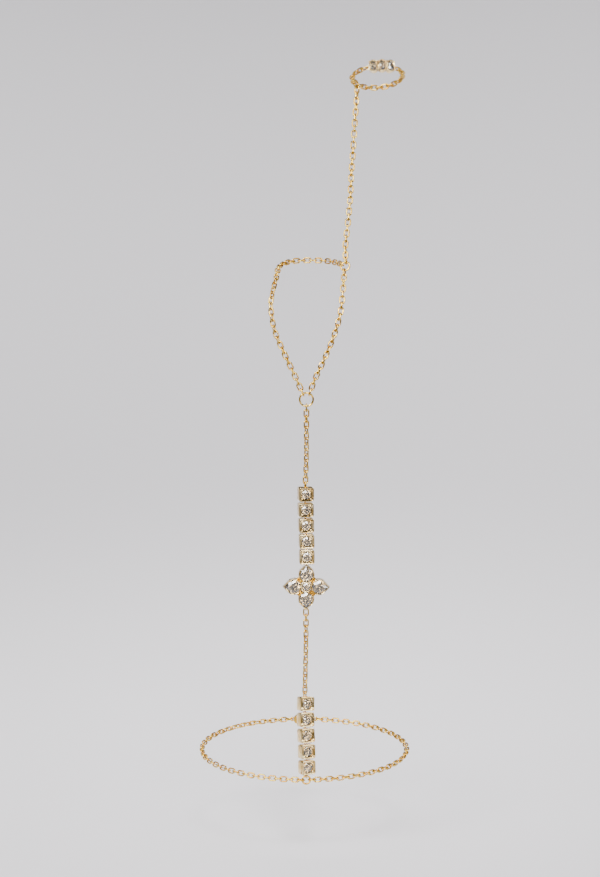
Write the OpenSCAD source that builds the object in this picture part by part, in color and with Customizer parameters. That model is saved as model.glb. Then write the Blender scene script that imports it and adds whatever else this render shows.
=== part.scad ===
// Hand chain bracelet: a chain round the wrist, a jewelled strand up the back of the
// hand, a loop round the middle finger and a chain ring with three stones for the index
// finger. Millimetres. The origin is the middle of the wrist loop, +Z points to the
// fingertips and the front of the jewel faces -Y.

/* [Chain] */
// Thickness of the wire of a chain link
link_wire = 0.5; // [0.42:0.01:0.52]
// Width over a chain link
link_w = 2; // [1.95:0.05:2.2]
// Length over a chain link
link_l = 3; // [2.92:0.02:3.3]
// Play left between two pieces that hook together
play = 0.12; // [0.11:0.01:0.14]
// Slack left in each link of the strand's two chains
slack = 0.08; // [0:0.01:0.1]
// Links between the lower squares and the flower
low_links = 16; // [12:1:20]
// Links between the upper squares and the middle ring
high_links = 15; // [11:1:19]

/* [Rings] */
// Thickness of the wire of the plain rings
ring_wire = 0.6; // [0.5:0.02:0.62]
// Outside diameter of the ring in the middle of the wrist chain
wrist_ring_d = 3.2; // [3.1:0.1:4.5]
// Outside diameter of the ring where the finger loop divides
mid_ring_d = 4.9; // [4.4:0.1:6]
// Outside diameter of the ring beside the middle finger
side_ring_d = 3.5; // [3.2:0.1:4.5]
// Outside diameter of the ring behind the index finger
top_ring_d = 3.2; // [3.2:0.1:4]
// Turn of the wrist ring to its right
wrist_ring_turn = 10; // [6:1:18]
// Turn of the side ring to its left
side_ring_turn = 25; // [10:1:40]

/* [Squares] */
// Squares at the wrist, and again below the knuckles
squares = 5; // [3:1:7]
// Width of a square
square_w = 4.9; // [4.5:0.1:5.4]
// Height of a square
square_h = 4.55; // [4.4:0.05:5.2]
// Depth of a square from back to front
square_d = 3; // [2.9:0.05:3.4]
// Radius of a square's corners
square_r = 0.7; // [0.4:0.05:0.8]
// Wall of a square
square_wall = 0.5; // [0.46:0.02:0.6]
// Width of the raised edge round the front
square_edge = 0.3; // [0.28:0.02:0.44]
// Gap between two squares
square_gap = 0.6; // [0.55:0.05:1]
// Turn of the lower squares to their right
low_turn = 27; // [15:1:30]
// Turn of the upper square next to the flower
first_turn = 4; // [0:1:16]
// Turn of the upper square next to the knuckles
last_turn = 12; // [8:1:24]

/* [Hooks] */
// Thickness of a pin across a notch
pin_d = 0.4; // [0.34:0.02:0.44]
// Thickness of the wire of an eye
eye_wire = 0.4; // [0.34:0.02:0.42]
// Outside diameter of the eye under a square
eye_d = 1.7; // [1.66:0.02:1.8]
// Outside diameter of the small eyes of the flower and the bar
small_eye_d = 1.6; // [1.58:0.02:1.7]
// Height of a pin above the back of its square
pin_height = 0.9; // [0.88:0.02:1]
// Width of the notch that a hook sits in
notch_w = 1.3; // [1.2:0.05:1.5]

/* [Stones] */
// Diameter of the round stone in a square
stone_d = 3.3; // [2.9:0.05:3.4]
// Height of a stone's crown as a share of its radius
crown_share = 0.3; // [0.24:0.01:0.34]
// Depth of a stone below its girdle as a share of its radius
depth_share = 0.84; // [0.7:0.01:0.86]
// Width of a stone's table as a share of its width
table_share = 0.56; // [0.5:0.01:0.64]
// Thickness of a stone's girdle
girdle = 0.08; // [0.06:0.01:0.1]
// Gap round a stone in its setting
stone_gap = 0.06; // [0.05:0.01:0.08]

/* [Flower] */
// Reach of the petals to either side
flower_side = 7.6; // [7.4:0.05:8]
// Reach of the petals up and down
flower_up = 7.4; // [7.2:0.05:7.7]
// Radius of a petal's round end
petal_r = 2.6; // [2.5:0.05:2.65]
// Middle of the round end of a side petal
petal_side = 4; // [3.95:0.05:4.15]
// Middle of the round end of an upper or lower petal
petal_up = 3.95; // [3.9:0.05:4.05]
// Width of the metal edge round a petal
petal_edge = 0.32; // [0.3:0.02:0.4]
// Depth of the flower from back to front
flower_d = 2.2; // [2.15:0.05:2.4]
// Diameter of the stone in the middle
centre_stone_d = 2.8; // [2.6:0.05:2.85]
// Height of the hooks above the flower's back
flower_hook = 0.5; // [0.45:0.05:0.6]

/* [Bar] */
// Width of an oval setting of the bar
oval_w = 2.7; // [2.5:0.05:2.9]
// Height of an oval setting of the bar
oval_h = 3.9; // [3.6:0.05:4.2]
// Depth of an oval setting
oval_d = 1.9; // [1.8:0.05:2.2]
// Distance between two oval settings
oval_pitch = 2.6; // [2.5:0.05:2.7]
// Width of the metal edge round an oval stone
oval_edge = 0.25; // [0.2:0.01:0.3]

/* [Wrist] */
// Width of the wrist loop, between the middles of the links
wrist_w = 68.4; // [60:0.2:76]
// Depth of the wrist loop from front to back
wrist_d = 53; // [48:0.2:60]
// Drop of the front of the wrist loop below its middle
wrist_drop = 2.85; // [1:0.05:4]
// Length of the clasp's body
clasp_l = 7.2; // [6:0.1:9]
// Height of the clasp's body
clasp_h = 3; // [2.4:0.1:3.6]
// Thickness of the clasp's body
clasp_t = 1.8; // [1.6:0.1:2.4]

/* [Index ring] */
// Width of the index ring, between the middles of the links
index_w = 16.2; // [14.6:0.2:19]
// Depth of the index ring from front to back
index_d = 16; // [14:0.1:19]
// Tilt of the index ring, its front raised
index_tilt = 26; // [10:1:32]
// Sideways lean of the index ring, its left side lowered
index_lean = 4; // [0:1:8]
// Place of the bar round the ring, to the right of the front
bar_place = 10; // [0:1:16]
// Place of the top ring round the index ring
top_ring_place = 238; // [230:1:244]

/* [Hidden] */
// The strand's route up the back of the hand, from the wrist ring on
STRAND_ROUTE = [
    [0.6, -26.7, -2.85], [0.5, -26.4, 1.3], [0.4, -25.6, 8], [0.1, -24.6, 15],
    [0.1, -23.4, 22], [0.3, -21.9, 32], [0.5, -20.7, 42], [0.5, -20, 52],
    [0.6, -19.8, 60], [0.7, -19.9, 70], [0.4, -20.1, 80], [0.2, -20.3, 90],
    [0.6, -20.6, 102], [0.6, -20.9, 112], [0.6, -21.2, 124], [0.6, -21.4, 136],
    [0.6, -21.6, 150]
];
// Points of the finger loop from the middle of the middle ring: left side and back
LEFT_ROUTE = [
    [-3.3, 0.2, 6.8], [-6.9, 0.5, 14.4], [-10.1, 1.2, 22], [-11.3, 2.4, 29.2],
    [-10.8, 4.2, 33.6], [-9.7, 8, 37.8], [-9.1, 12.4, 40.3], [-7.8, 17.4, 41.6],
    [-4.6, 21.6, 42.2], [0, 23.2, 42.4], [4.4, 22.5, 42.4], [8, 19.6, 42.3],
    [10.5, 14.5, 42.2]
];
// The same for its right side
RIGHT_ROUTE = [
    [2.7, 0.2, 6.4], [5.7, 0.5, 12.9], [8.7, 1.2, 20.1], [10.8, 2.2, 27.4],
    [11.6, 4.2, 34.4]
];
// The side ring's middle, from the middle of the middle ring
SIDE_PLACE = [12.4, 7.6, 41.8];
// Points of the long chain from the middle of the side ring
LONG_ROUTE = [
    [0.1, 3, 6.6], [0.9, 5.5, 13.5], [1.7, 8, 21.7], [2.1, 10.3, 29.5],
    [2.7, 12.6, 37.4], [3.2, 14.8, 45], [3.7, 16.8, 51.5]
];
// The index ring's middle, from the middle of the side ring
INDEX_PLACE = [10.4, 14, 59.6];

function names(stem, count) = [for (i = [1:count]) str(stem, i)];

GOLD = [0.86, 0.68, 0.36];
CLEAR = [0.93, 0.94, 0.96];
$fn = 48;
cut = 0.5;       // how far a cutting solid stands out past what it cuts
round_fn = 24;   // sides of a wire's section in a preview
far = 500;       // how far behind the strand its hub lies

// Lengths that follow from the sizes above
reach = (link_l - link_wire) / 2;             // middle of a link to its end's wire
link_bend = (link_w - link_wire) / 2;         // radius of a link's round ends
pitch = 2 * reach - link_wire - play;         // distance between two links
wrist_ring_r = (wrist_ring_d - ring_wire) / 2;
mid_ring_r = (mid_ring_d - ring_wire) / 2;
side_ring_r = (side_ring_d - ring_wire) / 2;
top_ring_r = (top_ring_d - ring_wire) / 2;
eye_r = (eye_d - eye_wire) / 2;
small_eye_r = (small_eye_d - eye_wire) / 2;
square_pitch = square_h + square_gap;
pin_up = (square_h - square_wall) / 2;        // a square's pin above its middle
eye_hold = eye_r - eye_wire / 2 - pin_d / 2 - play;
eye_down = square_pitch - pin_up - eye_hold;  // a square's eye below its middle
ring_hold = eye_r - eye_wire / 2 - ring_wire / 2 - play - 0.02;

// Lists of points and directions in space
function unit(v) = v / norm(v);
function square_to(v, t) = unit(v - (v * t) * t);
function bend(a, b, c, d, t) =
    (2 * b + (c - a) * t + (2 * a - 5 * b + 4 * c - d) * t * t
        + (3 * b - a - 3 * c + d) * t * t * t) / 2;
function smooth(p, n = 8) =
    let (m = len(p) - 1, q = concat([2 * p[0] - p[1]], p, [2 * p[m] - p[m - 1]]))
    concat([for (i = [1:m], j = [0:n - 1]) bend(q[i - 1], q[i], q[i + 1], q[i + 2], j / n)],
        [p[m]]);
// Pairs of the length along a list of points and the point's number
function lengths(p) =
    [for (i = 0, s = 0; i < len(p); s = s + (i + 1 < len(p) ? norm(p[i + 1] - p[i]) : 0),
        i = i + 1) [s, i]];
function spot(p, tab, s) =
    let (k = lookup(s, tab), i = min(floor(k), len(p) - 2)) p[i] + (p[i + 1] - p[i]) * (k - i);
function heading(p, tab, s) =
    unit(spot(p, tab, s + reach / 2) - spot(p, tab, s - reach / 2));

// Moves its children to the point o, with X along u, Y along v and Z along their cross
module put(o, u, v) {
    w = cross(u, v);
    multmatrix([[u.x, v.x, w.x, o.x], [u.y, v.y, w.y, o.y], [u.z, v.z, w.z, o.z], [0, 0, 0, 1]])
        children();
}

// A round ring of wire, flat on XY
module ring(r, wire) {
    rotate_extrude() translate([r, 0]) circle(d = wire, $fn = round_fn);
}

// Distance from the middle of a held wire to the middle of the link that holds it
function hook(held) = reach - link_wire / 2 - held / 2 - play - 0.02;

// An oval link along X, flat on XY
module link() {
    straight = link_l - link_w;
    for (side = [0, 180]) rotate(side) translate([straight / 2, 0, 0]) rotate(-90)
        rotate_extrude(angle = 180) translate([link_bend, 0]) circle(d = link_wire, $fn = round_fn);
    for (y = [-link_bend, link_bend]) translate([-straight / 2, y, 0]) rotate([0, 90, 0])
        cylinder(d = link_wire, h = straight, $fn = round_fn);
}

// Angle of the direction h round the heading t, counted from the facing f
function roll_of(h, t, f) = atan2(cross(t, f) * h, f * h);
function facing(c, t, hub) = square_to([c.x - hub.x, c.y - hub.y, 0], t);

// Links along a path, each a quarter turn on from the last. The path runs from the middle
// of one held wire to the middle of the other. Each held wire has a direction and a
// thickness, and hub is the upright axis that the chain faces away from. Ease is slack for
// a chain that bends.
module chain(path, hub, wire_a, thick_a, wire_b, thick_b, sway = 0, ease = 0) {
    p = smooth(path);
    tab = lengths(p);
    start = hook(thick_a);
    free = tab[len(tab) - 1][0] - start - hook(thick_b);
    steps = ceil(free / (pitch - ease) - 0.002);
    places = [for (i = [0:steps]) start + i * free / steps];
    spots = [for (s = places) spot(p, tab, s)];
    heads = [for (s = places) heading(p, tab, s)];
    faces = [for (i = [0:steps]) facing(spots[i], heads[i], hub)];
    first = roll_of(wire_a, heads[0], faces[0]);
    last = roll_of(wire_b, heads[steps], faces[steps]);
    off = last - first - 90 * steps;
    twist = off - 180 * round(off / 180);
    color(GOLD) for (i = [0:steps]) {
        roll = first + 90 * i + twist * i / steps + sway * sin(180 * i / steps);
        side = cross(heads[i], faces[i]);
        normal = faces[i] * cos(roll) + side * sin(roll);
        put(spots[i], heads[i], cross(normal, heads[i])) link();
    }
}

// A cut stone with a table, stars, kites and mains. The outline is round, drawn out to a
// point for a pear, or stretched for an oval. Its girdle is at Z 0.
function outline(a, r, tip, stretch) =
    let (beta = acos(r / tip), d = abs(90 - a), rho = d < beta ? r / cos(beta - d) : r)
    [rho * cos(a), rho * sin(a) + stretch * sin(a)];
module gem(r, tip, stretch = 0) {
    crown = r * crown_share;
    depth = r * depth_share;
    star = (1 + table_share) / 2;
    low = 0.25;
    kite = cos(22.5);
    star_z = crown * (1 - star * kite) / (1 - table_share);
    low_z = depth * (1 - low * kite);
    pts = concat(
        [for (k = [0:7]) concat(table_share * outline(45 * k, r, tip, stretch), girdle / 2 + crown)],
        [for (k = [0:7]) concat(star * outline(45 * k + 22.5, r, tip, stretch), girdle / 2 + star_z)],
        [for (k = [0:15]) concat(outline(22.5 * k, r, tip, stretch), girdle / 2)],
        [for (k = [0:15]) concat(outline(22.5 * k, r, tip, stretch), -girdle / 2)],
        [for (k = [0:7]) concat(low * outline(45 * k + 22.5, r, tip, stretch), -girdle / 2 - low_z)],
        [[0, 0, -girdle / 2 - depth]]);
    // Numbers of the first point of each ring of points
    S = 8; G = 16; L = 32; P = 48; C = 56;
    faces = concat(
        [[7, 6, 5, 4, 3, 2, 1, 0]],
        [for (k = [0:7]) [k, (k + 1) % 8, S + k]],
        [for (k = [0:7]) [k, S + k, G + 2 * k]],
        [for (k = [0:7]) [k, G + 2 * k, S + (k + 7) % 8]],
        [for (k = [0:7]) [S + k, G + 2 * k + 1, G + 2 * k]],
        [for (k = [0:7]) [S + k, G + (2 * k + 2) % 16, G + 2 * k + 1]],
        [for (k = [0:15]) [G + k, G + (k + 1) % 16, L + (k + 1) % 16]],
        [for (k = [0:15]) [G + k, L + (k + 1) % 16, L + k]],
        [for (k = [0:7]) [P + k, L + 2 * k, L + 2 * k + 1]],
        [for (k = [0:7]) [P + k, L + 2 * k + 1, L + (2 * k + 2) % 16]],
        [for (k = [0:7]) [C, L + 2 * k, P + k]],
        [for (k = [0:7]) [C, P + (k + 7) % 8, L + 2 * k]]);
    color(CLEAR) polyhedron(pts, faces, convexity = 4);
}

// Outlines of the settings
module rounded(w, h, r) {
    square([w - 2 * r, h], center = true);
    square([w, h - 2 * r], center = true);
    for (x = [-1, 1], y = [-1, 1]) translate([x * (w / 2 - r), y * (h / 2 - r)]) circle(r);
}
module pear(r, tip) {
    beta = acos(r / tip);
    circle(r);
    polygon([[-r * sin(beta), r * cos(beta)], [0, 0], [r * sin(beta), r * cos(beta)], [0, tip]]);
}
module oval(w, h) {
    square([w, h - w], center = true);
    for (y = [-1, 1]) translate([0, y * (h - w) / 2]) circle(d = w);
}

// A jewelled square: X across, Y up, Z out, its hooks at Z 0
girdle_up = square_d - 0.45;                  // a stone's girdle above the square's back
plate_back = pin_height + max(eye_d, link_w) / 2 + play;   // in front of the eye
plate_front = girdle_up + 0.2;
square_bead = 0.3;
bead_up = girdle_up + girdle / 2 + 0.22;
module jewelled_square() {
    seat_top = girdle_up - girdle / 2 - stone_gap / 2;
    seat = stone_d / 2 + stone_gap - (seat_top - plate_back) / depth_share;
    inner_w = square_w - 2 * square_wall;
    inner_h = square_h - 2 * square_wall;
    color(GOLD) translate([0, 0, -pin_height]) {
        difference() {
            linear_extrude(square_d) rounded(square_w, square_h, square_r);
            translate([0, 0, -cut]) linear_extrude(cut + plate_back)
                rounded(inner_w, inner_h, square_r / 2);
            translate([0, 0, plate_front]) linear_extrude(square_d)
                rounded(square_w - 2 * square_edge, square_h - 2 * square_edge, square_r / 2);
            translate([0, 0, seat_top]) cylinder(d = stone_d + 2 * stone_gap, h = square_d);
            translate([0, 0, plate_back]) cylinder(r1 = seat, r2 = stone_d / 2 + stone_gap,
                h = seat_top - plate_back);
            translate([-notch_w / 2, square_h / 2 - square_wall - cut / 2, -cut])
                cube([notch_w, square_wall + cut, cut + plate_back]);
        }
        for (a = [45:90:315]) rotate(a) translate([stone_d / 2 + square_bead, 0, bead_up])
            sphere(square_bead);
        translate([-(notch_w + square_wall) / 2, pin_up, pin_height]) rotate([0, 90, 0])
            cylinder(d = pin_d, h = notch_w + square_wall);
        translate([0, -eye_down, pin_height]) {
            rotate([0, 90, 0]) ring(eye_r, eye_wire);
            translate([0, eye_r, 0]) rotate([-90, 0, 0])
                cylinder(d = eye_wire * 0.85, h = eye_down - eye_r - square_h / 2 + square_wall / 2);
        }
    }
}
module square_stone() {
    translate([0, 0, girdle_up - pin_height]) gem(stone_d / 2, stone_d / 2);
}

// The flower: four pears round a round stone, its hooks at Z 0
flower_pin_up = flower_up - 0.68;             // where the lowest square hooks in
flower_eye_down = flower_up - 0.05;           // middle of the eye under the lower petal
flower_girdle = flower_d - 0.28;
petal_stone_r = petal_r - petal_edge - stone_gap;
petal_ledge = 0.3;
ledge_up = flower_girdle - girdle / 2 - petal_ledge * depth_share - stone_gap;
notch_deep = max(flower_hook + max(eye_d, link_w) / 2 + play, ledge_up + 0.05);
filler_place = 2.95;
filler_r = 1;
module petals() {
    for (a = [0, 180]) rotate(a) translate([0, petal_up]) children(0);
    for (a = [90, 270]) rotate(a) translate([0, petal_side]) children(1);
}
module petal_plan(inset) {
    r = petal_r - inset;
    petals() {
        pear(r, (flower_up - petal_up) * r / petal_r);
        pear(r, (flower_side - petal_side) * r / petal_r);
    }
}
module flower_setting() {
    centre_r = centre_stone_d / 2 + stone_gap;
    color(GOLD) translate([0, 0, -flower_hook]) {
        difference() {
            union() {
                linear_extrude(flower_d) petal_plan(0);
                cylinder(r = centre_r + petal_edge / 2, h = flower_d);
                for (a = [45:90:315]) rotate(a) translate([filler_place, 0, 0])
                    cylinder(r = filler_r, h = flower_d * 0.75);
            }
            translate([0, 0, ledge_up]) linear_extrude(flower_d) petal_plan(petal_edge);
            translate([0, 0, -cut]) linear_extrude(flower_d + cut) petal_plan(petal_edge + petal_ledge);
            translate([0, 0, ledge_up]) cylinder(r = centre_r, h = flower_d);
            translate([0, 0, -cut]) cylinder(r = centre_r - petal_ledge, h = flower_d + cut);
            translate([-0.5, flower_pin_up - 0.85, -cut]) cube([1, flower_up, cut + notch_deep]);
            translate([-petal_r, -flower_up - cut, -cut])
                cube([2 * petal_r, cut + flower_up - flower_eye_down + small_eye_r - play,
                    cut + notch_deep]);
        }
        translate([-0.7, flower_pin_up, flower_hook]) rotate([0, 90, 0]) cylinder(d = pin_d, h = 1.4);
        translate([0, -flower_eye_down, flower_hook]) rotate([0, 90, 0]) ring(small_eye_r, eye_wire);
        for (a = [45:90:315]) rotate(a) {
            translate([centre_stone_d / 2 + 0.28, 0, flower_girdle + 0.25]) sphere(0.28);
            translate([2.6, 0, flower_d * 0.8]) sphere(0.48);
            translate([3.45, 0, flower_d * 0.75]) sphere(0.3);
        }
    }
}
module flower_stone(a) {
    up = a % 180 == 0;
    reach_out = up ? flower_up - petal_up : flower_side - petal_side;
    rotate(a) translate([0, up ? petal_up : petal_side, flower_girdle - flower_hook])
        gem(petal_stone_r, reach_out * petal_stone_r / petal_r);
}
module flower_middle() {
    translate([0, 0, flower_girdle - flower_hook]) gem(centre_stone_d / 2, centre_stone_d / 2);
}

// The bar of three ovals, bent round the finger, its end eyes at Z 0
bar_level = 0.7;                              // the bar's end eyes above its back
bar_r = index_w * index_w / index_d / 2;      // the ring's bend at its front
bar_step = oval_pitch / bar_r * 180 / PI;
oval_girdle = oval_d - 0.26;
module bent(k) {
    translate([0, 0, -bar_r]) rotate([0, k * bar_step, 0]) translate([0, 0, bar_r]) children();
}
module bar_setting() {
    stone_w = oval_w - 2 * oval_edge;
    stone_h = oval_h - 2 * oval_edge;
    ledge = 0.22;
    drop = girdle / 2 + ledge * depth_share + stone_gap;
    color(GOLD) {
        difference() {
            for (k = [-1:1]) bent(k) translate([0, 0, -bar_level]) linear_extrude(oval_d)
                oval(oval_w, oval_h);
            for (k = [-1:1]) bent(k) translate([0, 0, -bar_level]) {
                translate([0, 0, oval_girdle - drop]) linear_extrude(oval_d)
                    oval(stone_w, stone_h);
                translate([0, 0, -cut]) linear_extrude(oval_d + cut)
                    oval(stone_w - 2 * ledge, stone_h - 2 * ledge);
            }
        }
        for (k = [-1.4, -0.5, 0.5, 1.4], y = [-1, 1]) bent(k)
                translate([0, y * (oval_h / 2 - 0.6), 0]) {
            translate([0, 0, -bar_level / 2]) cylinder(d = 0.56, h = oval_d + 0.1 - bar_level / 2);
            translate([0, 0, oval_d + 0.1 - bar_level]) sphere(d = 0.56);
        }
        for (k = [-1, 1]) bent(k * bar_eye) ring(small_eye_r, eye_wire);
    }
}
bar_eye = 1 + (oval_w / 2 + small_eye_r - 0.05) / oval_pitch;
module bar_stone(k) {
    stone_w = oval_w - 2 * oval_edge - 2 * stone_gap;
    stone_h = oval_h - 2 * oval_edge - 2 * stone_gap;
    bent(k) translate([0, 0, oval_girdle - bar_level])
        gem(stone_w / 2, stone_w / 2, (stone_h - stone_w) / 2);
}

// Stations of the strand, as lengths along its route. Each piece reaches from the middle
// of the wire that it hooks into to the middle of its own pin or wire.
strand = smooth(STRAND_ROUTE);
strand_tab = lengths(strand);
function station(s) = spot(strand, strand_tab, s);
low_first = wrist_ring_r;
low_second = low_first + ring_hold + eye_down + pin_up;
low_last = low_second + (squares - 1) * square_pitch;
flower_foot = low_last + (low_links - 1) * (pitch - slack) + hook(pin_d) + hook(eye_wire);
flower_head = flower_foot + small_eye_r + flower_eye_down + flower_pin_up;
high_last = flower_head + squares * square_pitch;
mid_foot = high_last + (high_links - 1) * (pitch - slack) + hook(pin_d) + hook(ring_wire);

// Axes of a piece that reaches from station a to station b, turned to its right
function axis_v(a, b) = unit(station(b) - station(a));
function axis_w(a, b, turn) =
    let (v = axis_v(a, b), f = square_to([0, -1, 0], v)) f * cos(turn) + cross(v, f) * sin(turn);
function axis_u(a, b, turn) = cross(axis_v(a, b), axis_w(a, b, turn));
// Its children's origin is the length up above station a
module on_strand(a, b, up, turn = 0) {
    put(station(a) + up * axis_v(a, b), axis_u(a, b, turn), axis_v(a, b)) children();
}
module on_low(i) {
    foot = low_second + (i - 1) * square_pitch;
    if (i == 0) on_strand(low_first, low_second, ring_hold + eye_down, low_turn) children();
    else on_strand(foot, foot + square_pitch, eye_hold + eye_down, low_turn) children();
}
function high_turn(i) = first_turn + (last_turn - first_turn) * i / max(squares - 1, 1);
module on_high(i) {
    foot = flower_head + i * square_pitch;
    on_strand(foot, foot + square_pitch, eye_hold + eye_down, high_turn(i)) children();
}
module on_flower() {
    on_strand(flower_foot, flower_head, small_eye_r + flower_eye_down) children();
}
function strand_path(a, b) = [for (k = [0:12]) station(a + (b - a) * k / 12)];

// A plain ring's point at an angle, and the direction of its wire there
function ring_point(o, u, v, r, a) = o + r * (cos(a) * u + sin(a) * v);
function ring_wire_at(u, v, a) = cos(a) * v - sin(a) * u;

// The wrist loop
wrist_o = station(0);
wrist_u = axis_u(0, low_first, wrist_ring_turn);
wrist_v = axis_v(0, low_first);
function wrist_point(a) =
    [wrist_w / 2 * sin(a), -wrist_d / 2 * cos(a), -wrist_drop * cos(a)];
clasp_eye = clasp_l / 2 + 0.45 + small_eye_r; // an end eye's outer wire from the clasp's middle
module wrist_side(s) {
    // s is -1 for the left side and 1 for the right
    start = ring_point(wrist_o, wrist_u, wrist_v, wrist_ring_r, s < 0 ? 180 : 0);
    finish = wrist_point(180) + [s * clasp_eye, 0, 0];
    path = concat([start], [for (a = [6:6:168]) wrist_point(s * a)], [finish]);
    chain(path, [0, 0], wrist_v, ring_wire, [0, 0, 1], eye_wire, 35);
}
module wrist_clasp() {
    color(GOLD) translate(wrist_point(180)) rotate([90, 0, 0]) {
        translate([0, 0, -clasp_t / 2]) linear_extrude(clasp_t) rotate(90) oval(clasp_h, clasp_l);
        for (x = [-1, 1]) translate([x * (clasp_eye - small_eye_r), 0, 0]) ring(small_eye_r, eye_wire);
    }
}

// The finger loop, the side ring and the long chain
mid_v = axis_v(mid_foot, mid_foot + 2 * mid_ring_r);
mid_u = axis_u(mid_foot, mid_foot + 2 * mid_ring_r, 0);
mid_o = station(mid_foot) + mid_ring_r * mid_v;
left_hold = 121;
right_hold = 62;
back_hold = 150;
foot_hold = 262;
head_hold = 86;
side_o = mid_o + SIDE_PLACE;
side_v = unit(SIDE_PLACE + LONG_ROUTE[0] - RIGHT_ROUTE[len(RIGHT_ROUTE) - 1]);
side_u = square_to([cos(side_ring_turn), -sin(side_ring_turn), 0], side_v);
loop_hub = [mid_o.x + 0.8, mid_o.y + 12.5];
function moved(list, o) = [for (p = list) o + p];
module loop_left() {
    path = concat([ring_point(mid_o, mid_u, mid_v, mid_ring_r, left_hold)],
        moved(LEFT_ROUTE, mid_o),
        [ring_point(side_o, side_u, side_v, side_ring_r, back_hold)]);
    chain(path, loop_hub, ring_wire_at(mid_u, mid_v, left_hold), ring_wire,
        ring_wire_at(side_u, side_v, back_hold), ring_wire, 30, 0.03);
}
module loop_right() {
    path = concat([ring_point(mid_o, mid_u, mid_v, mid_ring_r, right_hold)],
        moved(RIGHT_ROUTE, mid_o),
        [ring_point(side_o, side_u, side_v, side_ring_r, foot_hold)]);
    chain(path, loop_hub, ring_wire_at(mid_u, mid_v, right_hold), ring_wire,
        ring_wire_at(side_u, side_v, foot_hold), ring_wire, 30);
}

// The index ring, on its own tilted plane
index_o = side_o + INDEX_PLACE;
index_u = [cos(index_lean), 0, sin(index_lean)];
index_f = square_to([0, -cos(index_tilt), sin(index_tilt)], index_u);
index_v = cross(index_f, index_u);
function index_point(a) = index_o + index_w / 2 * sin(a) * index_u + index_d / 2 * cos(a) * index_f;
function index_along(a) =
    unit(index_w / 2 * cos(a) * index_u - index_d / 2 * sin(a) * index_f);
bar_u = index_along(bar_place);
bar_w = cross(bar_u, index_v);
top_hold = 256;
top_u = index_along(top_ring_place);
top_o = index_point(top_ring_place);
// A point of the bent bar, given across and outwards in its end oval's own axes
function bar_point(k, x) =
    let (r = bar_r, a = k * bar_step)
    index_point(bar_place) + bar_u * (x * cos(a) + r * sin(a)) + bar_w * (r * cos(a) - r - x * sin(a));
module long_chain() {
    path = concat([ring_point(side_o, side_u, side_v, side_ring_r, head_hold)],
        moved(LONG_ROUTE, side_o),
        [ring_point(top_o, top_u, index_v, top_ring_r, top_hold)]);
    chain(path, [index_o.x, index_o.y - 40], ring_wire_at(side_u, side_v, head_hold), ring_wire,
        ring_wire_at(top_u, index_v, top_hold), ring_wire, 40);
}
index_gap = 48;                               // turn from the bar's middle to the first free point
module index_side(k) {
    start = bar_point(k * bar_eye, k * small_eye_r);
    finish = ring_point(top_o, top_u, index_v, top_ring_r, k < 0 ? 0 : 180);
    last = k < 0 ? top_ring_place - 360 + 16 : top_ring_place - 16;
    first = bar_place + k * index_gap;
    count = max(2, round(abs(last - first) / 14));
    path = concat([start],
        [for (i = [0:count]) index_point(first + (last - first) * i / count)], [finish]);
    chain(path, [index_o.x, index_o.y], index_v, eye_wire, index_v, ring_wire, 8, 0.04);
}
module on_bar() {
    put(index_point(bar_place), bar_u, index_v) children();
}

wrist_side(-1);  // wrist_chain_left
wrist_side(1);  // wrist_chain_right
wrist_clasp();
color(GOLD) put(wrist_o, wrist_u, wrist_v) ring(wrist_ring_r, ring_wire);  // wrist_ring
for (i = [0:squares - 1]) {
    on_low(i) jewelled_square();
    on_low(i) square_stone();
    on_high(i) jewelled_square();
    on_high(i) square_stone();
}
chain(strand_path(low_last, flower_foot), [0, far],  // lower_chain
        axis_u(low_last - square_pitch, low_last, low_turn), pin_d,
        axis_w(flower_foot, flower_head, 0), eye_wire, 35);
on_flower() flower_setting();
on_flower() flower_middle();  // flower_stone_middle
on_flower() flower_stone(0);  // flower_stone_top
on_flower() flower_stone(90);  // flower_stone_left
on_flower() flower_stone(180);  // flower_stone_bottom
on_flower() flower_stone(270);  // flower_stone_right
chain(strand_path(high_last, mid_foot), [0, far],  // upper_chain
        axis_u(high_last - square_pitch, high_last, last_turn), pin_d, mid_u, ring_wire, 35);
color(GOLD) put(mid_o, mid_u, mid_v) ring(mid_ring_r, ring_wire);  // middle_ring
loop_left();  // loop_chain_left
loop_right();  // loop_chain_right
color(GOLD) put(side_o, side_u, side_v) ring(side_ring_r, ring_wire);  // side_ring
long_chain();
color(GOLD) put(top_o, top_u, index_v) ring(top_ring_r, ring_wire);  // top_ring
index_side(-1);  // index_chain_left
index_side(1);  // index_chain_right
on_bar() bar_setting();
for (k = [-1:1]) on_bar() bar_stone(k);
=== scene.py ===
"""Hand chain bracelet in gold plate with clear cut stones, held up as it is worn."""
import math

import bpy
import numpy
from mathutils import Matrix, Vector


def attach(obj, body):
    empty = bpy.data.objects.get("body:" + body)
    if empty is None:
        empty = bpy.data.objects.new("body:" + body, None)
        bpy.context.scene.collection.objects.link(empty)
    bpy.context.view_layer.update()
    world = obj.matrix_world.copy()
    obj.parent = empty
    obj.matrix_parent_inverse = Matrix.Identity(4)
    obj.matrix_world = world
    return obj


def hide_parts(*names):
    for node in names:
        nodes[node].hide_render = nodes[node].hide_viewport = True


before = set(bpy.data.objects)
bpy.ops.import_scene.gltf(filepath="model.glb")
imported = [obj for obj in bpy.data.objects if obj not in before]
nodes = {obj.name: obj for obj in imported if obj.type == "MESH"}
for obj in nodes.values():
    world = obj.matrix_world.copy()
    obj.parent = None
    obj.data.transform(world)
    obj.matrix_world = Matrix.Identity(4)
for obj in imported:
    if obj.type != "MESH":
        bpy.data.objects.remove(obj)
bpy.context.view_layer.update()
mm = 0.001

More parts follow.
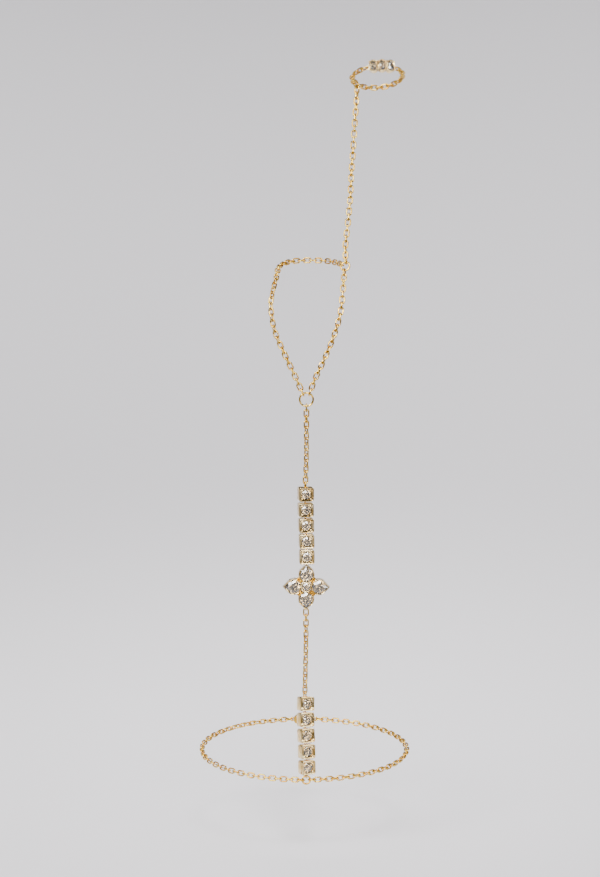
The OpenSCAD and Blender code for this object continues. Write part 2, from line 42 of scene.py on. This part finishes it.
# ---- The view ----------------------------------------------------------------------
# Nearly level with the jewel, straight from its front and a little above its middle,
# through a long lens, so that the strand's squares all show the same way.
looking_down = 9
bpy.ops.object.camera_add(location=(-1.44 * mm, -809.65 * mm, 233.21 * mm),
                          rotation=(math.radians(90 - looking_down), 0, 0))
camera = bpy.context.object
camera.name = "camera"
camera.data.lens = 102.6
camera.data.sensor_fit = "VERTICAL"
camera.data.sensor_height = 36
camera.data.clip_start = 0.01
bpy.context.scene.camera = camera

# ---- The cable chains --------------------------------------------------------------
# Oval links of drawn brass wire, each bent round, soldered shut and hooked through the
# next a quarter turn on. The made-up chain is tumbled smooth and plated with yellow
# gold, so every link is round, bright and even.
link_long = 3.0
link_wide = 2.0
link_wire = 0.5


def colour(code):
    """An sRGB hex colour as linear RGBA."""
    parts = [int(code[i:i + 2], 16) / 255 for i in (0, 2, 4)]
    return [c / 12.92 if c <= 0.04045 else ((c + 0.055) / 1.055) ** 2.4 for c in parts] + [1]


def add_node(material, kind, settings, **links):
    """Adds a node, sets its properties and sockets, and links its inputs."""
    node = material.node_tree.nodes.new(kind)
    for name, value in settings.items():
        if hasattr(node, name):
            setattr(node, name, value)
        else:
            node.inputs[name].default_value = value
    for name, source in links.items():
        material.node_tree.links.new(source, node.inputs[name.replace("_", " ")])
    return node


def new_material(name):
    """An empty material, and the object's own coordinates for its patterns."""
    material = bpy.data.materials.new(name)
    material.use_nodes = True
    material.node_tree.nodes.clear()
    return material, add_node(material, "ShaderNodeTexCoord", {}).outputs["Object"]


plate_drift = 2.5 * mm
rub_size = 0.3 * mm
rub_deep = 0.01 * mm
# Painted shade: the occlusion's reach, and the deeper yellow it multiplies into recesses.
painted_shade_reach = 0.5 * mm
painted_shade_tone = "b9953f"


def gold_plate(name, deep, light, least, most, painted_shade_share):
    """Electroplated gold. Its tone drifts from deep to light over some millimetres with the
    plate's thickness, fine rubbing takes its roughness from least to most, and painted
    shade, a deeper yellow multiplied in up to the last share given, darkens the recesses
    that ambient occlusion finds."""
    gold, place = new_material(name)
    drift = add_node(gold, "ShaderNodeTexNoise", {"Scale": 1 / plate_drift, "Detail": 2},
                     Vector=place)
    share = add_node(gold, "ShaderNodeMapRange", {"From Min": 0.35, "From Max": 0.65},
                     Value=drift.outputs["Fac"])
    tone = add_node(gold, "ShaderNodeMixRGB",
                    {"Color1": colour(deep), "Color2": colour(light)},
                    Fac=share.outputs["Result"])
    # Painted shade: ambient occlusion darkens the colour in crevices and between parts.
    hollow = add_node(gold, "ShaderNodeAmbientOcclusion",
                      {"Distance": painted_shade_reach, "samples": 8})
    depth = add_node(gold, "ShaderNodeMapRange", {"From Min": 0.25, "From Max": 0.75,
                     "To Min": painted_shade_share, "To Max": 0.0}, Value=hollow.outputs["AO"])
    shade = add_node(gold, "ShaderNodeMixRGB",
                     {"blend_type": "MULTIPLY", "Color2": colour(painted_shade_tone)},
                     Fac=depth.outputs["Result"], Color1=tone.outputs["Color"])
    rub = add_node(gold, "ShaderNodeTexNoise", {"Scale": 1 / rub_size, "Detail": 4},
                   Vector=place)
    gloss = add_node(gold, "ShaderNodeMapRange", {"From Min": 0.3, "From Max": 0.7,
                     "To Min": least, "To Max": most}, Value=rub.outputs["Fac"])
    bump = add_node(gold, "ShaderNodeBump", {"Strength": 0.2, "Distance": rub_deep},
                    Height=rub.outputs["Fac"])
    shader = add_node(gold, "ShaderNodeBsdfPrincipled", {"Metallic": 1},
                      Base_Color=shade.outputs["Color"], Roughness=gloss.outputs["Result"],
                      Normal=bump.outputs["Normal"])
    add_node(gold, "ShaderNodeOutputMaterial", {}, Surface=shader.outputs[0])
    return gold


# The chains' plate, tumbled bright: a warm yellow gold that gives a fine mirror.
# Its crevices take strong painted shade.
gold = gold_plate("electroplated_tumbled_gold", "c99a30", "e8c35c", 0.1, 0.2, 0.75)


def dress(piece, *finishes):
    """Gives the piece these materials in place of any that it has."""
    piece.data.materials.clear()
    for finish in finishes:
        piece.data.materials.append(finish)


def pick(piece, kind, wanted):
    """Leaves the piece in edit mode with only the wanted vertices, edges or faces chosen."""
    bpy.ops.object.mode_set(mode="EDIT")
    bpy.ops.mesh.select_mode(type={"vertices": "VERT", "edges": "EDGE",
                                   "polygons": "FACE"}[kind])
    bpy.ops.mesh.select_all(action="DESELECT")
    bpy.ops.object.mode_set(mode="OBJECT")
    for part in getattr(piece.data, kind):
        part.select = wanted(part)
    bpy.ops.object.mode_set(mode="EDIT")


def joined(parts, name):
    """Joins the parts into one named piece."""
    bpy.ops.object.select_all(action="DESELECT")
    for part in parts:
        part.select_set(True)
    bpy.context.view_layer.objects.active = parts[0]
    if len(parts) > 1:
        bpy.ops.object.join()
    parts[0].name = parts[0].data.name = name
    return parts[0]


def laid(model, place):
    """A copy with its own mesh, brought from millimetres to size and laid in its place."""
    copy = model.copy()
    copy.data = model.data.copy()
    copy.data.transform(place @ Matrix.Scale(mm, 4))
    bpy.context.collection.objects.link(copy)
    return copy


def merged_copy(node, name):
    """A copy of a CAD node with its loose triangles joined up."""
    bpy.ops.object.select_all(action="DESELECT")
    copy = bpy.data.objects.new(name, node.data.copy())
    bpy.context.collection.objects.link(copy)
    copy.select_set(True)
    bpy.context.view_layer.objects.active = copy
    bpy.ops.object.mode_set(mode="EDIT")
    bpy.ops.mesh.select_all(action="SELECT")
    bpy.ops.mesh.remove_doubles(threshold=0.001 * mm)
    bpy.ops.object.mode_set(mode="OBJECT")
    return copy


def link_places(chain):
    """Where each link of a CAD chain lies, from its own middle and its three axes."""
    merged_copy(chain, "guide")
    bpy.ops.object.mode_set(mode="EDIT")
    bpy.ops.mesh.separate(type="LOOSE")
    bpy.ops.object.mode_set(mode="OBJECT")
    places = []
    for guide in list(bpy.context.selected_objects):
        points = numpy.empty(len(guide.data.vertices) * 3)
        guide.data.vertices.foreach_get("co", points)
        points = points.reshape(-1, 3)
        middle = points.mean(0)
        axes = numpy.linalg.svd(points - middle, full_matrices=False)[2]
        axes[2] = numpy.cross(axes[0], axes[1])
        spread = (points - middle) @ axes.T
        middle = middle + axes.T @ ((spread.max(0) + spread.min(0)) / 2)
        place = Matrix([list(row) for row in axes.T]).to_4x4()
        place.translation = Vector(middle)
        places.append(place)
        bpy.data.objects.remove(guide)
    return places


# One link, a round ring whose two halves are pulled apart into an oval.
bpy.ops.object.select_all(action="DESELECT")
bpy.ops.mesh.primitive_torus_add(major_segments=24, minor_segments=8,
                                 major_radius=(link_wide - link_wire) / 2,
                                 minor_radius=link_wire / 2)
link = bpy.context.object
for side in (-1, 1):
    pick(link, "vertices", lambda v: v.co.x * side > 0)
    bpy.ops.transform.translate(value=(side * (link_long - link_wide) / 2, 0, 0))
    bpy.ops.object.mode_set(mode="OBJECT")
bpy.ops.object.shade_smooth()
dress(link, gold)

for name in ("wrist_chain_left", "wrist_chain_right", "lower_chain", "upper_chain",
             "loop_chain_left", "loop_chain_right", "long_chain", "index_chain_left",
             "index_chain_right"):
    chain = joined([laid(link, place) for place in link_places(nodes[name])], name + "_links")
    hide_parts(name)
    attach(chain, "root")
bpy.data.objects.remove(link)

# ---- The plain rings ---------------------------------------------------------------
# Four closed rings of thicker round wire join the chains: at the wrist, where the finger
# loop divides, beside the middle finger and behind the index finger. They are the same
# plated brass, and their exact round form is kept as it is.
for name in ("wrist_ring", "middle_ring", "side_ring", "top_ring"):
    dress(nodes[name], gold)

# ---- The jewelled squares ----------------------------------------------------------
# Ten cast brass boxes with rounded corners and a raised edge. Round the stone the floor
# is bright cut, with rays of narrow facets that sparkle like more stone. Behind, each
# box is hollow, with a pin across a notch above and a soldered eye below.
square_wide = 4.9
square_high = 4.55
square_deep = 3.0
square_corner = 0.7
square_wall = 0.5
square_edge = 0.3
square_soften = 0.06
square_back = -0.9
square_front = square_back + square_deep
floor_back = square_back + 2.02
floor_front = square_front - 0.25
seat_wide = 3.3 / 2 + 0.06
seat_up = square_front - 0.52
seat_slope = 0.84
notch_wide = 1.3
notch_high = 1.5
ray_count = 28
ray_spread = 1.7
ray_rise = 0.2
ray_fold = 0.3
ray_thick = 0.16
bead_size = 0.3
bead_out = 1.95
bead_up = square_front - 0.19
pin_size = 0.2
pin_long = 1.8
pin_up = (square_high - square_wall) / 2
eye_size = 0.65
eye_wire = 0.2
eye_down = 2.995
neck_size = 0.17
neck_long = 0.6
crease = math.radians(35)

# The settings' plate, over polished castings: a paler, creamier gold than the chains'.
# Its recesses take lighter painted shade.
cast_gold = gold_plate("electroplated_cast_gold", "dfba72", "f8e2ae", 0.05, 0.16, 0.35)


def start(kind, **sizes):
    """Adds a primitive with nothing else chosen, at the size and place given."""
    bpy.ops.object.select_all(action="DESELECT")
    getattr(bpy.ops.mesh, "primitive_" + kind + "_add")(**sizes)
    bpy.ops.object.transform_apply(location=True, rotation=True, scale=True)
    return bpy.context.object


def extrude(x, y, z):
    """Extrudes what is chosen."""
    bpy.ops.mesh.extrude_region_move(TRANSFORM_OT_translate={"value": (x, y, z)})


def finish_with(piece, kind, **settings):
    """Adds a modifier to the piece and applies it."""
    bpy.ops.object.select_all(action="DESELECT")
    piece.select_set(True)
    bpy.context.view_layer.objects.active = piece
    modifier = piece.modifiers.new(kind, kind)
    for name, value in settings.items():
        setattr(modifier, name, value)
    bpy.ops.object.modifier_apply(modifier=modifier.name)


def cut(piece, cutter, operation="DIFFERENCE"):
    """Cuts a solid out of the piece, or keeps what the two share."""
    finish_with(piece, "BOOLEAN", object=cutter, operation=operation, solver="EXACT")
    bpy.data.objects.remove(cutter)


def rounded_block(wide, high, low, top, corner):
    """A block with its four upright edges rounded."""
    block = start("cube", size=1, location=(0, 0, (low + top) / 2),
                  scale=(wide, high, top - low))
    pick(block, "edges", lambda e: abs(block.data.vertices[e.vertices[0]].co.z
                                       - block.data.vertices[e.vertices[1]].co.z) > 0.1)
    bpy.ops.mesh.bevel(offset=corner, segments=5, affect="EDGES")
    bpy.ops.object.mode_set(mode="OBJECT")
    return block


# The box, sunk in front inside its raised edge and hollowed out behind.
box = rounded_block(square_wide, square_high, square_back, square_front, square_corner)
pick(box, "polygons", lambda f: f.normal.z > 0.9)
bpy.ops.mesh.inset(thickness=square_edge)
extrude(0, 0, floor_front - square_front)
pick(box, "polygons", lambda f: f.normal.z < -0.9 and f.center.z < square_back + 0.01)
bpy.ops.mesh.inset(thickness=square_wall)
extrude(0, 0, floor_back - square_back)
bpy.ops.object.mode_set(mode="OBJECT")
finish_with(box, "BEVEL", width=square_soften, segments=2, limit_method="ANGLE",
            angle_limit=math.radians(50))

# The stone's seat goes through the floor, and the notch through the wall above.
seat_deep = seat_up - floor_back + 0.1
seat = start("cone", vertices=48, radius1=seat_wide - seat_deep / seat_slope,
             radius2=seat_wide, depth=seat_deep, location=(0, 0, seat_up - seat_deep / 2))
pick(seat, "polygons", lambda f: f.normal.z > 0.9)
extrude(0, 0, square_deep)
bpy.ops.object.mode_set(mode="OBJECT")
cut(box, seat)
notch_low = square_back - 0.5
notch = start("cube", size=1, location=(0, square_high / 2, (floor_back + notch_low) / 2),
              scale=(notch_wide, notch_high, floor_back - notch_low))
cut(box, notch)

# The bright cut rays: a wide cone round the seat, with every second line folded down,
# trimmed to the floor inside the edge.
rays = start("circle", vertices=ray_count, radius=seat_wide + 0.02,
             location=(0, 0, floor_front + 0.02))
pick(rays, "vertices", lambda v: True)
extrude(0, 0, ray_rise)
bpy.ops.transform.resize(value=(ray_spread, ray_spread, 1), center_override=(0, 0, 0))
bpy.ops.object.mode_set(mode="OBJECT")
pick(rays, "vertices", lambda v: v.co.z > floor_front + ray_rise / 2
     and round(math.atan2(v.co.y, v.co.x) / math.tau * ray_count) % 2 == 0)
bpy.ops.transform.translate(value=(0, 0, -ray_fold))
bpy.ops.mesh.select_all(action="SELECT")
bpy.ops.mesh.normals_make_consistent(inside=False)
bpy.ops.object.mode_set(mode="OBJECT")
if rays.data.polygons[0].normal.z < 0:
    rays.data.flip_normals()
finish_with(rays, "SOLIDIFY", thickness=ray_thick, offset=-1)
inside_edge = 2 * square_edge - 0.06
cut(rays, rounded_block(square_wide - inside_edge, square_high - inside_edge,
                        floor_front - 0.3, square_front, square_corner - square_edge),
    "INTERSECT")

# Four beads hold the stone, and the pin, the eye and its neck are soldered on.
square_parts = [box, rays]
for angle in (45, 135, 225, 315):
    around = math.radians(angle)
    square_parts.append(start(
        "uv_sphere", segments=12, ring_count=8, radius=bead_size,
        location=(bead_out * math.cos(around), bead_out * math.sin(around), bead_up)))
square_parts.append(start("cylinder", vertices=14, radius=pin_size, depth=pin_long,
                          location=(0, pin_up, 0), rotation=(0, math.radians(90), 0)))
square_parts.append(start("torus", major_segments=24, minor_segments=10,
                          major_radius=eye_size, minor_radius=eye_wire,
                          location=(0, -eye_down, 0), rotation=(0, math.radians(90), 0)))
square_parts.append(start("cylinder", vertices=12, radius=neck_size, depth=neck_long,
                          location=(0, -square_high / 2 - 0.02, 0),
                          rotation=(math.radians(90), 0, 0)))
square = joined(square_parts, "square")
bpy.ops.object.shade_smooth_by_angle(angle=crease)
dress(square, cast_gold)


def facing(node, about, least):
    """The direction of the widest flat part of a CAD node that faces about that way."""
    count = len(node.data.polygons)
    normals, areas = numpy.empty(count * 3), numpy.empty(count)
    node.data.polygons.foreach_get("normal", normals)
    node.data.polygons.foreach_get("area", areas)
    sums = {}
    for normal, area in zip(normals.reshape(-1, 3), areas):
        if normal @ numpy.array(about) > least:
            key = tuple(numpy.round(normal, 2))
            sums[key] = sums.get(key, 0) + normal * area
    widest = max(sums.values(), key=numpy.linalg.norm)
    return Vector(widest).normalized()


def square_place(node):
    """The place of a CAD square, from its front, its top and its back."""
    out = facing(node, (0, -1, 0), 0.6)
    up = facing(node, (0, 0, 1), 0.9)
    up = (up - up.dot(out) * out).normalized()
    across = up.cross(out)
    points = numpy.array([v.co[:] for v in node.data.vertices])
    a, b, c = (points @ numpy.array(axis) for axis in (across, up, out))
    middle = ((a.max() + a.min()) / 2 * across + (b.max() - square_high / 2 * mm) * up
              + (c.min() - square_back * mm) * out)
    place = Matrix((across, up, out)).transposed().to_4x4()
    place.translation = middle
    return place


for name in nodes:
    if "_square_" in name:
        setting = joined([laid(square, square_place(nodes[name]))], name + "_setting")
        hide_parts(name)
        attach(setting, "root")
bpy.data.objects.remove(square)

# ---- The flower --------------------------------------------------------------------
# One brass casting of four pear-shaped cups round a round one, with beads between the
# petals. Its edges are polished like the squares. Between the petals the plate is a little
# rougher, and its colour is painted deeper and darker there as painted shade.
between_wide = 0.75 * mm
between_from = 2 * mm
between_to = 4.1 * mm
# Painted shade: a deeper, darker gold with more occlusion darkening, a little rougher.
painted_shade_gold = gold_plate("electroplated_gold_painted_shade", "c08a2c", "ddae4c", 0.2, 0.32, 0.75)
flower = merged_copy(nodes["flower_setting"], "flower_setting_casting")
bpy.ops.object.shade_smooth_by_angle(angle=crease)
dress(flower, cast_gold, painted_shade_gold)
heart = [v.co for v in nodes["flower_stone_middle"].data.vertices]
heart_x, heart_z = ((min(c[i] for c in heart) + max(c[i] for c in heart)) / 2 for i in (0, 2))
# Painted shade: the faces in the diagonals between the petals take the darker gold.
for face in flower.data.polygons:
    aside, above = abs(face.center.x - heart_x), abs(face.center.z - heart_z)
    if (abs(aside - above) < between_wide
            and between_from < math.hypot(aside, above) < between_to):
        face.material_index = 1
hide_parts("flower_setting")
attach(flower, "root")

# ---- The bar -----------------------------------------------------------------------
# Three oval cups cast side by side and bent round the finger, with round claws over the
# stones' corners and an eye soldered on at each end, in the settings' plate.
bar = merged_copy(nodes["bar_setting"], "bar_setting_casting")
bpy.ops.object.shade_smooth_by_angle(angle=crease)
dress(bar, cast_gold)
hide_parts("bar_setting")
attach(bar, "root")

# ---- The clasp ---------------------------------------------------------------------
# A plain closed clasp behind the wrist: a flat oval body of stamped brass with its edges
# rounded off by tumbling and an eye at each end, plated like the chains.
clasp = merged_copy(nodes["wrist_clasp"], "wrist_clasp_body")
finish_with(clasp, "BEVEL", width=0.2 * mm, segments=3, limit_method="ANGLE",
            angle_limit=math.radians(60))
bpy.ops.object.shade_smooth_by_angle(angle=crease)
dress(clasp, gold)
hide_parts("wrist_clasp")
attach(clasp, "root")

# ---- The stones --------------------------------------------------------------------
# Cubic zirconia, cut by machine with a table, stars, kites and mains and polished: a
# bright colourless stone with hard, sparkling facets and a slight haze of handling.
haze_size = 0.8 * mm
zirconia, place = new_material("polished_cubic_zirconia")
haze = add_node(zirconia, "ShaderNodeTexNoise", {"Scale": 1 / haze_size, "Detail": 3},
                Vector=place)
gloss = add_node(zirconia, "ShaderNodeMapRange", {"From Min": 0.5, "From Max": 0.8,
                 "To Min": 0.0, "To Max": 0.02}, Value=haze.outputs["Fac"])
shader = add_node(zirconia, "ShaderNodeBsdfPrincipled",
                  {"Base Color": colour("fdfdff"), "IOR": 2.16, "Transmission Weight": 0.97},
                  Roughness=gloss.outputs["Result"])
add_node(zirconia, "ShaderNodeOutputMaterial", {}, Surface=shader.outputs[0])

# The pavilion behind each stone is coated with a mirror of pale metal under lacquer, so
# that the light comes back through the crown, warm, and nothing shows through the stone.
# Its tone and gloss drift a little, as a thin coating's do.
foil_drift = 0.8 * mm
foil, place = new_material("evaporated_mirror_foil")
drift = add_node(foil, "ShaderNodeTexNoise", {"Scale": 1 / foil_drift, "Detail": 3},
                 Vector=place)
share = add_node(foil, "ShaderNodeMapRange", {"From Min": 0.35, "From Max": 0.65},
                 Value=drift.outputs["Fac"])
tone = add_node(foil, "ShaderNodeMixRGB",
                {"Color1": colour("cdbd9e"), "Color2": colour("dfcfb2")},
                Fac=share.outputs["Result"])
gloss = add_node(foil, "ShaderNodeMapRange", {"From Min": 0.3, "From Max": 0.7,
                 "To Min": 0.02, "To Max": 0.05}, Value=drift.outputs["Fac"])
shader = add_node(foil, "ShaderNodeBsdfPrincipled", {"Metallic": 1},
                  Base_Color=tone.outputs["Color"], Roughness=gloss.outputs["Result"])
add_node(foil, "ShaderNodeOutputMaterial", {}, Surface=shader.outputs[0])

for name, node in nodes.items():
    if "_stone_" in name:
        dress(node, zirconia, foil)
        out = facing(node, (0, -1, 0), 0.6)
        for face in node.data.polygons:
            if face.normal.dot(out) < -0.1:
                face.material_index = 1

# ---- The floor ---------------------------------------------------------------------
# A wide round sheet of pale paper, flat under the jewel, that curves up all round it in
# one slow bend, so that no edge shows from any side.
flat_radius = 0.75
bend_radius = 2.2
bend_step = 5
sheet = start("circle", vertices=96, radius=flat_radius, fill_type="NGON",
              location=(0, 0, -27.5 * mm))
sheet.name = "floor"
pick(sheet, "edges", lambda e: True)
for step in range(12):
    here, there = math.radians(bend_step * step), math.radians(bend_step * (step + 1))
    lift = bend_radius * (math.cos(here) - math.cos(there))
    wider = ((flat_radius + bend_radius * math.sin(there))
             / (flat_radius + bend_radius * math.sin(here)))
    if step == 0:
        bpy.ops.mesh.extrude_edges_move(TRANSFORM_OT_translate={"value": (0, 0, lift)})
    else:
        extrude(0, 0, lift)
    bpy.ops.transform.resize(value=(wider, wider, 1), center_override=(0, 0, 0))
bpy.ops.mesh.select_all(action="SELECT")
bpy.ops.mesh.normals_make_consistent(inside=True)
bpy.ops.object.mode_set(mode="OBJECT")
bpy.ops.object.shade_smooth()
paper = bpy.data.materials.new("matt_pale_paper")
paper.use_nodes = True
paper_shader = paper.node_tree.nodes["Principled BSDF"]
paper_shader.inputs["Base Color"].default_value = colour("e7e4e8")
paper_shader.inputs["Roughness"].default_value = 0.9
dress(sheet, paper)

# ---- The light ---------------------------------------------------------------------
# A dim, plain studio. One wide soft lamp behind and above lights the paper. Soft boxes at
# the left and the right light the jewel alone, and three small ones in front and above
# give the metal its bright edges and the stones their sparkle.
studio = bpy.data.worlds.new("studio")
bpy.context.scene.world = studio
studio.use_nodes = True
studio_light = studio.node_tree.nodes["Background"]
studio_light.inputs["Color"].default_value = colour("e8e8ea")
studio_light.inputs["Strength"].default_value = 0.1

for name, spot, aim, wide, high, spread, glow in (
        ("paper", (0, 1.2, 2.2), (0, 1.2, 0), 4.2, 1.2, 90, 2.4),
        ("key", (-0.8, -0.8, 0.9), (0, 0, 0.1), 0.7, 0.7, 40, 1.35),
        ("fill", (1.0, -0.8, 0.5), (0, 0, 0.1), 0.5, 0.5, 40, 0.6),
        ("right_spark", (0.15, -1.15, 0.55), (0, 0, 0.1), 0.3, 0.3, 30, 1.1),
        ("left_spark", (-0.45, -1.1, 0.6), (0, 0, 0.15), 0.3, 0.3, 30, 1.4),
        ("top_spark", (0.1, -0.6, 1.2), (0, 0, 0.15), 0.35, 0.35, 30, 1)):
    beam = Vector(aim) - Vector(spot)
    bpy.ops.object.light_add(type="AREA", location=spot,
                             rotation=beam.to_track_quat("-Z", "Y").to_euler())
    lamp = bpy.context.object
    lamp.name = name
    lamp.data.shape = "RECTANGLE"
    lamp.data.size = wide
    lamp.data.size_y = high
    lamp.data.energy = math.pi * wide * high * glow
    lamp.data.spread = math.radians(spread)
